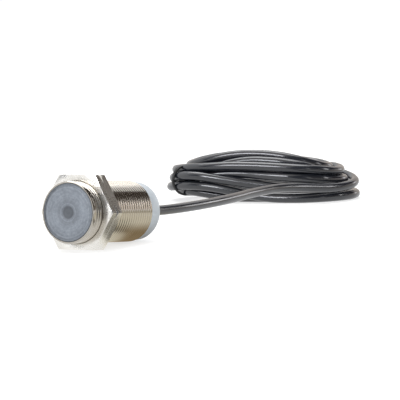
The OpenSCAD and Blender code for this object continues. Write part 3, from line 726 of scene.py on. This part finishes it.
# The tie's frame, in mm: its middle is in the bundle, at the left end of the hank, and Z runs
# along the turns
TIE_PHASE, TIE_R = radians(228), 8.1
LEFT_END, BUNDLE_R, BUNDLE_HEIGHT = -25.5, 20, 12
TIE_AT = (LEFT_END + BUNDLE_R * cos(TIE_PHASE), BUNDLE_R * sin(TIE_PHASE), BUNDLE_HEIGHT)
TIE = (
    HANK @ Matrix.Translation(TIE_AT)
    @ Matrix.Rotation(TIE_PHASE, 4, "Z") @ Matrix.Rotation(pi / 2, 4, "X"))


class SENSOR_OT_tie(bpy.types.Operator):
    """Coated wire that goes round the bundle twice, with its ends twisted inside the hank"""

    bl_idname = "sensor.tie"
    bl_label = "Hank Tie"

    def execute(self, context):
        # Two turns side by side, then both ends, twisted round each other
        wrap = []
        for t in (k / 24 for k in range(49)):
            turn = pi + 2 * pi * t
            wrap.append((TIE_R * cos(turn), TIE_R * sin(turn), -1 + t + 0.3 * sin(1.5 * turn)))
        ends, twist_r = [], 0.65
        for side in (0, pi):
            ends.append([
                (-TIE_R - t, twist_r * cos(t * 2.4 + side) + 0.05 * t, twist_r * sin(t * 2.4 + side))
                for t in (0.6 * k for k in range(15))])
        tie = wire_curve("tie_wire", [wrap, *ends], sizes().tie_diameter, TIE)
        finish = coated("tie_black", colours().tie, 0.28, 2.0, 0.02)
        kept(tie, finish, "sensor", ["hank_tie"])
        return {"FINISHED"}


class SENSOR_OT_lead(bpy.types.Operator):
    """The lead's jacket, from the grommet through the tied hank to its far end"""

    bl_idname = "sensor.lead"
    bl_label = "Lead"

    def execute(self, context):
        s = sizes()
        nose = HANK.inverted() @ NOSE_TIP
        route = [nose, *LEAD_ROUTE[1:]]
        lead = wire_curve("lead_jacket", [route], s.lead_diameter, HANK, 5)
        finish = coated("cable_jacket", colours().jacket, 0.2, 1.0, 0.008, Specular_IOR_Level=1.0)
        kept(lead, finish, "sensor", ["cable_lead", "cable_hank", "cable_tail"])
        return {"FINISHED"}


def winding_finish(f, place):
    """Enamelled turns that lie beside each other, with painted shade in the grooves between them."""
    wave = f.sum("SINE", f.parts(place)[2] * 22)
    c = colours().copper
    f.feed(Metallic=0.9, Roughness=0.32)
    # Painted shade: the copper is darker in the dips between the turns.
    f.feed(Base_Color=f.blend(f.clamp(wave * 0.5 + 0.5), shade(c, 0.45), shade(c, 1.05)))
    f.relief(wave, 0.12)


def board_finish(f, place):
    """Green resist over the edges of copper tracks."""
    cells = f.node("TexVoronoi", {"feature": "DISTANCE_TO_EDGE"}, {"Vector": place, "Scale": 0.45})
    tracks = f.clamp((0.12 - cells) * 20)
    f.feed(Roughness=0.35)
    f.feed(Base_Color=f.blend(tracks, (0.012, 0.11, 0.04, 1), (0.03, 0.22, 0.08, 1)))
    f.relief(tracks, 0.04)


def grained(low, high, roughness, metallic=0.0, scale=3.0, depth=0.03, **steady):
    """A finish whose tone goes between two colours in a fine grain."""
    def write(f, place):
        grain, cloud = f.noise(place, scale, 3), f.noise(place, scale * 0.12, 2)
        f.feed(Metallic=metallic, **steady)
        f.feed(Base_Color=f.blend(f.clamp(grain * 0.7 + cloud * 0.7 - 0.2), (*low, 1), (*high, 1)))
        f.feed(Roughness=f.clamp(roughness + (grain - 0.5) * 0.15))
        f.relief(grain, depth)
    return write


def glass_finish(f, place):
    """Reddish glass body, cloudy in places."""
    x, y, z = f.parts(place)
    wave = f.noise(f.point(z * 0.8, x * 0.8, 0.0), 1.0, 1)
    f.feed(Roughness=0.08, IOR=1.5, Coat_Weight=0.3)
    f.feed(Base_Color=f.blend(f.clamp(wave * 3 - 1.2), (0.5, 0.1, 0.035, 1), (0.62, 0.2, 0.09, 1)))


# Finish of each kind of piece that stays as it is in the solids
INNER = {
    "seal_rubber": (
        ["face_seal", "cap_seal"],
        grained((0.006, 0.006, 0.006), (0.02, 0.02, 0.02), 0.5)),
    "shield_brass": (
        ["shield_ring"],
        grained((0.5, 0.33, 0.1), (0.75, 0.55, 0.22), 0.28, 1.0, 1.4, 0.01)),
    "ferrite": (
        ["ferrite_core"],
        grained((0.022, 0.022, 0.026), (0.06, 0.06, 0.065), 0.62, 0.0, 7.0, 0.05)),
    "bobbin_plastic": (
        ["coil_bobbin"],
        grained((0.6, 0.56, 0.44), (0.72, 0.68, 0.56), 0.4, 0.0, 2.0, 0.02)),
    "copper": (["coil_winding", "coil_leads"], winding_finish),
    "board": (["circuit_board"], board_finish),
    "chip_black": (
        ["oscillator_chip", "output_transistor", "resistors"],
        grained((0.01, 0.01, 0.011), (0.026, 0.026, 0.028), 0.5, 0.0, 8.0, 0.03)),
    "capacitor_tan": (
        ["capacitors"],
        grained((0.42, 0.26, 0.08), (0.58, 0.38, 0.14), 0.45, 0.0, 5.0, 0.02)),
    "diode_glass": (["protection_diodes"], glass_finish),
    "lamp_yellow": (
        ["indicator_led"],
        grained(
            (0.75, 0.42, 0.02), (0.9, 0.56, 0.05), 0.18, 0.0, 1.0, 0.01,
            Subsurface_Weight=0.3, Subsurface_Scale=0.001)),
    "resin": (
        ["potting_compound"],
        grained((0.018, 0.02, 0.024), (0.035, 0.037, 0.042), 0.3, 0.0, 0.8, 0.06)),
}
WIRES = {"wire_brown": "brown", "wire_blue": "blue", "wire_black": "black"}


class SENSOR_OT_inner(bpy.types.Operator):
    """Finishes of the solids inside the sensor and of the cable where it enters"""

    bl_idname = "sensor.inner"
    bl_label = "Inner Pieces"

    def dress(self, node, finish):
        """Gives a node its finish."""
        for slot in frame["nodes"][node].material_slots:
            slot.material = finish.material

    def execute(self, context):
        for name, (nodes, write) in INNER.items():
            f = Finish(f"inner_{name}")
            write(f, f.place(SENSOR))
            for node in nodes:
                self.dress(node, f)
        for node, colour in WIRES.items():
            self.dress(node, coated(f"inner_{node}", getattr(colours(), colour), 0.35, 2.5))
        self.dress("cable_entry", coated("inner_jacket", colours().jacket, 0.34))
        return {"FINISHED"}


def sheet_of(name, width, height, material, place):
    """A flat sheet for the stage."""
    bm = bmesh.new()
    bmesh.ops.create_grid(bm, x_segments=1, y_segments=1, size=0.5)
    bmesh.ops.scale(bm, vec=(width, height, 1), verts=bm.verts)
    bmesh.ops.transform(bm, matrix=place, verts=bm.verts)
    mesh = bpy.data.meshes.new(name)
    bm.to_mesh(mesh)
    bm.free()
    sheet = bpy.data.objects.new(name, mesh)
    bpy.context.scene.collection.objects.link(sheet)
    mesh.materials.append(material)
    return sheet


class Light(Nodes):
    """A glowing stage material, or the room."""

    def seen(self):
        """1 for what the camera sees, directly, in a gloss or through glass."""
        path = self.node("LightPath")
        outputs = path.socket.node.outputs
        direct, gloss, through = (Wire(self, outputs[k]) for k in (
            "Is Camera Ray", "Is Glossy Ray", "Is Transmission Ray"))
        return self.clamp(direct + gloss + through)

    def end(self, shader, kind="Material"):
        """Links the last shader to the output."""
        output = self.tree.nodes.new(f"ShaderNodeOutput{kind}")
        self.tree.links.new(shader.socket, output.inputs[0])


UPRIGHT = Matrix.Rotation(pi / 2, 4, "X")
SIDEWAYS = Matrix.Rotation(pi / 2, 4, "Z") @ UPRIGHT
LEVEL = Matrix()

# Cards of one tone: width, height, centre, turn and radiance
PLAIN_CARDS = {
    "ceiling_card": (1.5, 1.3, (0.89, 1.5, 1.35), UPRIGHT, (0.045, 0.036, 0.03)),
    "overhead_card": (1.9, 2.5, (1.05, 0.25, 1.9), LEVEL, (0.05, 0.042, 0.036)),
    "right_card": (2.5, 1.7, (2.0, 0.25, 1.05), SIDEWAYS, (0.12, 0.105, 0.09)),
    "window_card": (1.0, 0.95, (-0.55, -1.9, 1.05), UPRIGHT, (8.5, 8.6, 9.0)),
    "upper_card": (5.0, 1.3, (0, -1.35, 2.6), LEVEL, (0.12, 0.12, 0.12)),
    "veil_card": (0.75, 0.8, (-0.225, -0.24, 0.6), LEVEL, (0.8, 0.78, 0.75)),
    "lead_card": (0.05, 0.036, (0.077, 0.25, 0.052), UPRIGHT, (4.5, 4.5, 4.5)),
}


def backdrop(f, x, y, z):
    """Pale wall behind the object, dark above on its right, with a low window."""
    shaded = f.rise(z, 0.40, 0.57) * f.rise(x, 0.08, 0.14)
    wall = f.blend(shaded, (0.84, 0.76, 0.70, 1), (0.045, 0.038, 0.032, 1))
    window = f.rise(x, 0.12, 0.22) * f.rise(x, 0.56, 0.44)
    window = window * f.rise(z, 0.14, 0.22) * f.rise(z, 0.44, 0.36)
    return f.blend(window, wall, (3.2, 3.2, 3.3, 1))


def front_wall(f, x, y, z):
    """Dark wall behind the camera, pale low down and on its left."""
    pale = f.rise(x, -0.7, -0.9) * f.rise(z, 0.5, 0.35) + f.rise(x, 0.3, 0.1) * f.rise(z, 0.22, 0.14)
    return f.blend(f.clamp(pale), (0.115, 0.125, 0.145, 1), (1, 1, 1, 1))


def table(f, x, y, z):
    """Table top, in the tones that the undersides of the barrel and the nuts mirror."""
    right = f.rise(x, 0.04, 0.06)
    line = right * f.rise(f.sum("ABSOLUTE", y - 0.145), 0.035, 0)
    flats = f.rise(x, 0.012, 0.016) * f.rise(x, 0.06, 0.04) * f.rise(y, 0.006, 0) * f.rise(y, -0.017, -0.013)
    under = f.rise(f.sum("ABSOLUTE", x), 0.024, 0.013) * f.rise(y, -0.002, 0.008) * f.rise(y, 0.05, 0.04)
    tone = (0.76, 0.72, 0.60, 1)
    for mask, colour in (
            (f.rise(y, -0.012, -0.022), (0.9, 0.9, 0.9, 1)),
            (f.rise(y, 0.05, 0.09) * (1 - right), (0.9, 0.9, 0.9, 1)),
            (right * f.rise(y, 0.165, 0.185), (0.50, 0.46, 0.39, 1)),
            (right * f.rise(y, -0.03, -0.05), (0.12, 0.11, 0.10, 1)),
            (line, (0.05, 0.04, 0.03, 1)),
            (flats, (0.19, 0.18, 0.155, 1)),
            (under, (0.31, 0.235, 0.14, 1))):
        tone = f.blend(mask, tone, colour)
    return tone


# Cards whose tone changes: width, height, centre, turn and tone
TONED_CARDS = {
    "backdrop_card": (4.0, 0.70, (0.6, 1.5, 0.35), UPRIGHT, backdrop),
    "front_card": (5.2, 2.6, (-0.1, -2.0, 1.3), UPRIGHT, front_wall),
    "table_card": (4.0, 4.0, (0, 0, 0.00005), LEVEL, table),
}


class SENSOR_OT_stage(bpy.types.Operator):
    """Camera, pale floor, studio lamps, and the cards that the metal mirrors"""

    bl_idname = "sensor.stage"
    bl_label = "Stage"

    def camera(self, stage):
        """The camera, at the photo's angle."""
        data = bpy.data.cameras.new("camera")
        data.lens, data.sensor_width = stage.lens, 36
        data.clip_start, data.clip_end = 0.01, 60
        camera = bpy.data.objects.new("camera", data)
        # The camera's own axes, fitted to the photo
        right = Vector((0.85189584, 0.52256267, -0.03466592))
        up = Vector((-0.0174789, 0.09452567, 0.99536897))
        turn = Matrix((right, up, right.cross(up))).transposed().to_4x4()
        camera.matrix_world = Matrix.Translation(stage.camera_place) @ turn
        bpy.context.scene.collection.objects.link(camera)
        bpy.context.scene.camera = camera

    def floor(self):
        """The pale floor, which glows a little so that it looks white, and keeps the shadow."""
        material = bpy.data.materials.new("pale_floor")
        material.use_nodes = True
        f = Light(material.node_tree)
        paint = f.node("BsdfDiffuse", None, {"Color": (0.45, 0.45, 0.45, 1)})
        glow = f.node("Emission", None, {"Color": (1, 1, 1, 1), "Strength": 0.22 + f.seen() * 0.44})
        f.end(f.node("AddShader", None, {0: paint, 1: glow}))
        sheet_of("floor", 60, 60, material, Matrix.Translation((0, 0, -0.0001)))

    def room(self, stage):
        """Even light from all sides, which looks white."""
        world = bpy.data.worlds.new("room")
        bpy.context.scene.world = world
        world.use_nodes = True
        f = Light(world.node_tree)
        seen = f.seen()
        strength = seen + (1 - seen) * stage.room_light
        f.end(f.node("Background", None, {"Color": (1, 1, 1, 1), "Strength": strength}), "World")

    def lamp(self, name, power, size, place, aim):
        """A square soft lamp, turned to what it lights."""
        data = bpy.data.lights.new(name, "AREA")
        data.shape, data.size, data.energy = "SQUARE", size, power
        lamp = bpy.data.objects.new(name, data)
        turn = (Vector(aim) - Vector(place)).to_track_quat("-Z", "Y")
        lamp.matrix_world = Matrix.Translation(place) @ turn.to_matrix().to_4x4()
        bpy.context.scene.collection.objects.link(lamp)
        return lamp

    def card(self, name, width, height, centre, turn, tone):
        """A card that only a glossy surface sees."""
        material = bpy.data.materials.new(name)
        material.use_nodes = True
        f = Light(material.node_tree)
        if callable(tone):
            colour = tone(f, *f.parts(f.node("TexCoord", out=3)))
        else:
            colour = (*tone, 1)
        f.end(f.node("Emission", None, {"Color": colour, "Strength": 1.0}))
        card = sheet_of(name, width, height, material, Matrix.Translation(centre) @ turn)
        for ray in ("camera", "diffuse", "transmission", "volume_scatter", "shadow"):
            setattr(card, f"visible_{ray}", False)

    def execute(self, context):
        stage = context.scene.sensor_stage
        self.camera(stage)
        self.floor()
        self.room(stage)
        target = (0, 0.1, 0)
        self.lamp("top_lamp", stage.key_power, 1.5, (-0.5, 0.3, 1.6), target)
        fill = self.lamp("side_lamp", stage.fill_power, 1.6, (0.9, -1.5, 1.0), target)
        fill.visible_glossy = False
        for name, look in {**TONED_CARDS, **PLAIN_CARDS}.items():
            self.card(name, *look)
        context.scene.view_settings.view_transform = "Standard"
        return {"FINISHED"}


MAKERS = (
    SENSOR_OT_stage, SENSOR_OT_cores, SENSOR_OT_tie, SENSOR_OT_lead, SENSOR_OT_barrel,
    SENSOR_OT_nuts, SENSOR_OT_face, SENSOR_OT_cap, SENSOR_OT_inner)


class SENSOR_PT_parts(bpy.types.Panel):
    """Lists the pieces that can be made, and their sizes and colours"""

    bl_idname = "SENSOR_PT_parts"
    bl_label = "Proximity Sensor"
    bl_space_type = "VIEW_3D"
    bl_region_type = "UI"
    bl_category = "Sensor"

    def draw(self, context):
        layout = self.layout
        for maker in MAKERS:
            layout.operator(maker.bl_idname)
        for group in (context.scene.sensor_sizes, context.scene.sensor_finishes, context.scene.sensor_stage):
            box = layout.box()
            for key in group.bl_rna.properties.keys():
                if key not in ("rna_type", "name"):
                    box.prop(group, key)


GROUPS = {"sensor_sizes": SensorSizes, "sensor_finishes": SensorFinishes, "sensor_stage": SensorStage}


def register():
    for kind in (*GROUPS.values(), *MAKERS, SENSOR_PT_parts):
        bpy.utils.register_class(kind)
    for key, group in GROUPS.items():
        setattr(bpy.types.Scene, key, PointerProperty(type=group))


def unregister():
    for key in GROUPS:
        delattr(bpy.types.Scene, key)
    for kind in reversed((*GROUPS.values(), *MAKERS, SENSOR_PT_parts)):
        bpy.utils.unregister_class(kind)


def main():
    register()
    for maker in MAKERS:
        family, name = maker.bl_idname.split(".")
        getattr(getattr(bpy.ops, family), name)()


if __name__ == "__main__":
    main()
